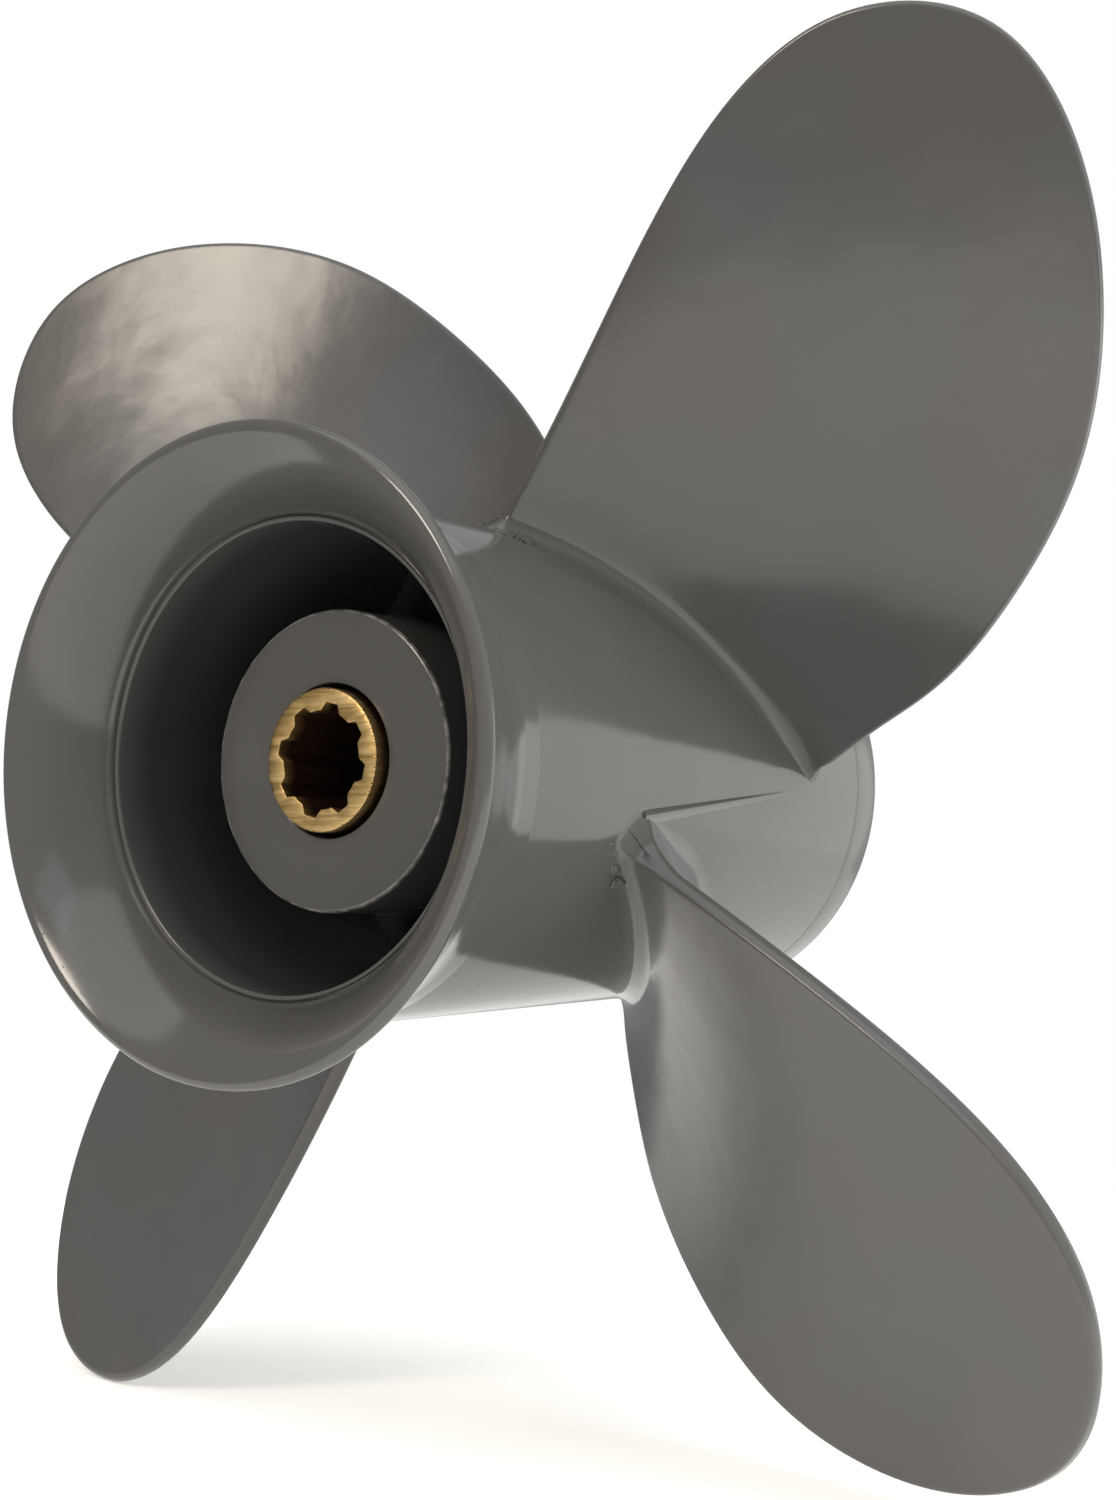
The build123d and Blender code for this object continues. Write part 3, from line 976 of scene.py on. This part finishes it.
class BuildCastingBeads(bpy.types.Operator):
    """Drop the small beads of metal that the casting left at each blade's trailing root."""

    bl_idname = "propeller.build_casting_beads"
    bl_label = "Build casting beads"

    def execute(self, context):
        blades = context.scene.propeller_blades
        barrel = context.scene.propeller_barrel
        # Each bead: degrees behind the blade's reference line, place forward of the rim
        # plane and half width
        beads = ((6.2, 50.2, 1.25), (9.2, 48.0, 0.95), (12.6, 47.0, 0.7), (14.6, 44.6, 0.45))
        # Length along the axis and height off the barrel, as shares of the width
        length, height = 1.5, 0.7
        lump_scale, lump_depth = 1.7, 0.28
        for index in range(blades.count):
            phase = BladeShape(blades, barrel, index).phase
            bm = bmesh.new()
            for degrees_behind, forward, half in beads:
                angle = phase - radians(degrees_behind)
                y = RIM_Y + forward * MM
                outward = off_axis(1, angle)
                around = off_axis(1, angle + pi / 2)
                centre = off_axis(barrel_radius(y), angle, y)
                made = bmesh.ops.create_icosphere(bm, subdivisions=4, radius=1.0)
                for vert in made["verts"]:
                    lump = noise.noise(vert.co * lump_scale + Vector((forward, 0, 0)))
                    u, v, w = vert.co * (1 + lump_depth * lump) * half * MM
                    vert.co = (
                        centre + around * u + Vector((0, v * length, 0)) + outward * w * height)
            finish_casting(bm, f"casting_beads_{index + 1}", [], radians(80))
        return {"FINISHED"}


# ------------------------------------------------------------------ cushion
class BuildBush(bpy.types.Operator):
    """Spin the rubber bush, with end faces dished where the rubber shrank in its mould."""

    bl_idname = "propeller.build_bush"
    bl_label = "Build rubber bush"

    def execute(self, context):
        chamfer = 1.5 * MM
        dish = 0.8 * MM
        middle = (SLEEVE_RADIUS + BUSH_RADIUS) / 2
        bm = lathe(rounded_path([
            (SLEEVE_RADIUS, BUSH_AFT_Y, 0),
            (middle, BUSH_AFT_Y + dish, 3 * MM),
            (BUSH_RADIUS - chamfer, BUSH_AFT_Y, 0.5 * MM),
            (BUSH_RADIUS, BUSH_AFT_Y + chamfer, 0.5 * MM),
            (BUSH_RADIUS, BUSH_FRONT_Y - chamfer, 0.5 * MM),
            (BUSH_RADIUS - chamfer, BUSH_FRONT_Y, 0.5 * MM),
            (middle, BUSH_FRONT_Y - dish, 3 * MM),
            (SLEEVE_RADIUS, BUSH_FRONT_Y, 0),
        ], segments=5))
        finish_piece(
            bm, "rubber_cushion", "cushion", rubber_material(),
            ["rubber_bush"])
        return {"FINISHED"}


class BuildSleeve(bpy.types.Operator):
    """Cut the brass sleeve's spline teeth and break its edges."""

    bl_idname = "propeller.build_sleeve"
    bl_label = "Build splined sleeve"

    def execute(self, context):
        cushion = context.scene.propeller_cushion
        pitch_angle = 2 * pi / cushion.teeth
        mouth = cushion.groove_mouth / 2
        floor = cushion.groove_floor / 2
        mouth_angle = atan2(mouth, sqrt(cushion.crest_radius**2 - mouth**2))
        floor_radius = sqrt(cushion.groove_radius**2 + floor**2)
        floor_angle = atan2(floor, cushion.groove_radius)
        # One groove and one tooth, as (radius, angle) from the groove's middle: half the
        # groove, the crest between its two broken corners, and half the next groove
        corner_turn = 0.03
        crest_start = mouth_angle + corner_turn
        crest_end = pitch_angle - mouth_angle - corner_turn
        corner_radius = cushion.crest_radius + 0.25 * MM
        corner_angle = mouth_angle * 0.985
        crest_steps = 5
        half = [(floor_radius, floor_angle * 0.8), (floor_radius, floor_angle),
                (corner_radius, corner_angle)]
        one = [(cushion.groove_radius, 0.0)] + half
        one += [(cushion.crest_radius,
                 crest_start + step / crest_steps * (crest_end - crest_start))
                for step in range(crest_steps + 1)]
        one += [(radius, pitch_angle - angle) for radius, angle in reversed(half)]
        per_tooth = len(one)
        bm = bmesh.new()
        ring = bmesh.ops.create_circle(bm, segments=per_tooth * cushion.teeth, radius=1.0)
        ring["verts"].sort(key=lambda vert: atan2(vert.co.y, vert.co.x) % (2 * pi))
        for number, vert in enumerate(ring["verts"]):
            radius, angle = one[number % per_tooth]
            angle += number // per_tooth * pitch_angle + cushion.phase
            vert.co = off_axis(radius, angle, SLEEVE_AFT_Y)
        outer = bmesh.ops.extrude_edge_only(bm, edges=bm.edges[:])
        for item in outer["geom"]:
            if isinstance(item, bmesh.types.BMVert):
                angle = atan2(item.co.x, item.co.z)
                item.co = off_axis(SLEEVE_RADIUS, angle, SLEEVE_AFT_Y)
        made = bmesh.ops.extrude_face_region(bm, geom=bm.faces[:])
        moved = [item for item in made["geom"] if isinstance(item, bmesh.types.BMVert)]
        bmesh.ops.translate(bm, verts=moved, vec=(0, SLEEVE_FRONT_Y - SLEEVE_AFT_Y, 0))
        bmesh.ops.recalc_face_normals(bm, faces=bm.faces)
        for width, is_outer in ((0.5 * MM, True), (0.16 * MM, False)):
            ends = []
            for edge in bm.edges:
                at_end = all(
                    min(abs(v.co.y - SLEEVE_AFT_Y), abs(v.co.y - SLEEVE_FRONT_Y))
                    < SAME_PLACE for v in edge.verts)
                radii = [sqrt(v.co.x**2 + v.co.z**2) for v in edge.verts]
                on_outer = min(radii) > SLEEVE_RADIUS - 0.01 * MM
                on_inner = max(radii) < floor_radius + 0.01 * MM
                if at_end and (on_outer if is_outer else on_inner):
                    ends.append(edge)
            bmesh.ops.bevel(
                bm, geom=ends, offset=width, offset_type="OFFSET", affect="EDGES",
                segments=2, profile=0.5, material=-1)
        finish_piece(
            bm, "brass_sleeve", "cushion", brass_material(),
            ["splined_sleeve"], sharp_angle=radians(25))
        return {"FINISHED"}


# ------------------------------------------------------------------ stage
class BuildStage(bpy.types.Operator):
    """Set the pale floor, the soft lights and the camera."""

    bl_idname = "propeller.build_stage"
    bl_label = "Build stage"

    def execute(self, context):
        self.floor()
        self.world()
        self.lights()
        self.camera()
        context.scene.view_settings.view_transform = "Standard"
        return {"FINISHED"}

    def floor(self):
        """Lay a small round floor, which is never seen edge on as a bright band."""
        radius = 0.42
        middle = Vector((0.10, -0.10, CAD_BOX[0].z))
        bm = bmesh.new()
        bmesh.ops.create_circle(bm, cap_ends=True, segments=96, radius=radius)
        bmesh.ops.translate(bm, verts=bm.verts, vec=middle)
        mesh = bpy.data.meshes.new("floor")
        bm.to_mesh(mesh)
        bm.free()
        material = material_named("matt_white_floor")[0]
        node = partial(add_node, material.node_tree)
        shader = node(
            "ShaderNodeBsdfPrincipled",
            {"Base Color": linear_colour("f7f6f3"), "Roughness": 0.9,
             "Emission Color": linear_colour("fffdf9"), "Emission Strength": 0.42})
        node("ShaderNodeOutputMaterial", {"Surface": shader})
        mesh.materials.append(material)
        add_object("floor", mesh)

    def world(self):
        """Make the room white to the camera, and soft and uneven to the object."""
        world = bpy.data.worlds.new("studio")
        bpy.context.scene.world = world
        world.use_nodes = True
        world.node_tree.nodes.clear()
        node = partial(add_node, world.node_tree)
        seen = node("ShaderNodeBackground", {"Color": (1, 1, 1, 1), "Strength": 1.0})
        # The room is dim aft and brighter forward, round azimuth 150.
        direction = node("ShaderNodeTexCoord").outputs["Generated"]
        forward = node(
            "ShaderNodeVectorMath", {0: direction, 1: (0.5, 0.866, 0.1)},
            operation="DOT_PRODUCT")
        level = node(
            "ShaderNodeMapRange",
            {"Value": forward, "From Min": 0.0, "From Max": 1.0, "To Min": 0.32,
             "To Max": 0.62}, interpolation_type="SMOOTHSTEP")
        fill = node("ShaderNodeBackground", {"Color": (1, 1, 1, 1), "Strength": level})
        is_seen = node("ShaderNodeLightPath").outputs["Is Camera Ray"]
        mixed = node("ShaderNodeMixShader", {0: is_seen, 1: fill, 2: seen})
        node("ShaderNodeOutputWorld", {"Surface": mixed})

    def lights(self):
        """Stand the softboxes round the object, and hang the diffuser over it."""
        # Each softbox: name, azimuth and elevation it stands at, distance, width, height,
        # brightness, colour and whether it shows in reflections. Azimuth 0 is aft, 90 is
        # starboard and 180 is forward.
        for name, azimuth, elevation, distance, width, height, brightness, tint, shows in (
            ("forward_softbox", 139, -6, 1.0, 0.92, 0.70, 1.15, "fffefa", True),
            ("aft_softbox", 351, 31, 1.2, 0.36, 0.30, 13.5, "fff2e2", True),
            ("starboard_softbox", 24, 34, 1.3, 0.5, 0.35, 0.9, "f6f4ff", True),
            ("starboard_fill", 92, 36, 1.2, 1.4, 1.2, 2.6, "fffefa", False),
        ):
            turn = radians(azimuth)
            rise = radians(elevation)
            towards = Vector((sin(turn) * cos(rise), -cos(turn) * cos(rise), sin(rise)))
            data = bpy.data.lights.new(name, "AREA")
            data.shape = "ELLIPSE" if name == "aft_softbox" else "RECTANGLE"
            data.size = width
            data.size_y = height
            data.energy = brightness * pi * width * height
            data.color = linear_colour(tint)[:3]
            lamp = add_object(name, data)
            lamp.location = towards * distance
            lamp.rotation_euler = towards.to_track_quat("Z", "Y").to_euler()
            lamp.visible_camera = False
            lamp.visible_glossy = shows
        # A wide overhead diffuser lights the floor evenly.
        data = bpy.data.lights.new("overhead", "SUN")
        data.energy = 0.95
        data.angle = radians(60)
        lamp = add_object("overhead", data)
        lamp.rotation_euler = (radians(20), 0, radians(15))

    def camera(self):
        """Set the camera low, aft and to starboard of the propeller."""
        data = bpy.data.cameras.new("camera")
        data.lens = 52.22
        data.sensor_width = 36
        data.shift_x = 0.072
        data.shift_y = -0.0096
        data.clip_start = 0.01
        data.clip_end = 50
        camera = add_object("camera", data)
        # Where it stands, from a point on the axis, and the way it faces
        azimuth, elevation, distance = 0.7137, -0.06655, 0.3401
        pivot = Vector((0, RIM_Y + 0.0294, 0))
        turn_azimuth, turn_elevation, roll = 0.6692, -0.07885, -0.0018
        away = Vector((
            sin(azimuth) * cos(elevation), -cos(azimuth) * cos(elevation), sin(elevation)))
        back = Vector((
            sin(turn_azimuth) * cos(turn_elevation), -cos(turn_azimuth) * cos(turn_elevation),
            sin(turn_elevation)))
        right = Vector((cos(turn_azimuth), sin(turn_azimuth), 0))
        up = back.cross(right)
        turned_right = cos(roll) * right + sin(roll) * up
        turned_up = cos(roll) * up - sin(roll) * right
        camera.location = pivot + away * distance
        camera.rotation_mode = "QUATERNION"
        camera.rotation_quaternion = Matrix(
            (turned_right, turned_up, back)).transposed().to_quaternion()
        bpy.context.scene.camera = camera


BUILD_STEPS = (
    BuildBarrel, BuildHub, BuildRibs, BuildBlades, BuildPartingLines, BuildCastingBeads,
    BuildBush, BuildSleeve, BuildStage)


class PropellerPanel(bpy.types.Panel):
    """Settings and build steps of the propeller."""

    bl_idname = "VIEW3D_PT_propeller"
    bl_label = "Propeller"
    bl_space_type = "VIEW_3D"
    bl_region_type = "UI"
    bl_category = "Propeller"

    def draw(self, context):
        for group in SETTINGS:
            settings = getattr(context.scene, group)
            box = self.layout.box()
            for name in settings.__annotations__:
                box.prop(settings, name)
        for step in BUILD_STEPS:
            self.layout.operator(step.bl_idname)


SETTINGS = {
    "propeller_barrel": BarrelSettings,
    "propeller_blades": BladeSettings,
    "propeller_cushion": CushionSettings,
    "propeller_finish": FinishSettings,
}


def register():
    for name, group in SETTINGS.items():
        bpy.utils.register_class(group)
        setattr(bpy.types.Scene, name, PointerProperty(type=group))
    for step in BUILD_STEPS:
        bpy.utils.register_class(step)
    bpy.utils.register_class(PropellerPanel)


def unregister():
    bpy.utils.unregister_class(PropellerPanel)
    for step in reversed(BUILD_STEPS):
        bpy.utils.unregister_class(step)
    for name, group in SETTINGS.items():
        delattr(bpy.types.Scene, name)
        bpy.utils.unregister_class(group)


def main():
    register()
    bpy.ops.propeller.build_barrel()
    bpy.ops.propeller.build_hub()
    bpy.ops.propeller.build_ribs()
    bpy.ops.propeller.build_blades()
    bpy.ops.propeller.build_parting_lines()
    bpy.ops.propeller.build_casting_beads()
    bpy.ops.propeller.build_bush()
    bpy.ops.propeller.build_sleeve()
    bpy.ops.propeller.build_stage()


if __name__ == "__main__":
    main()
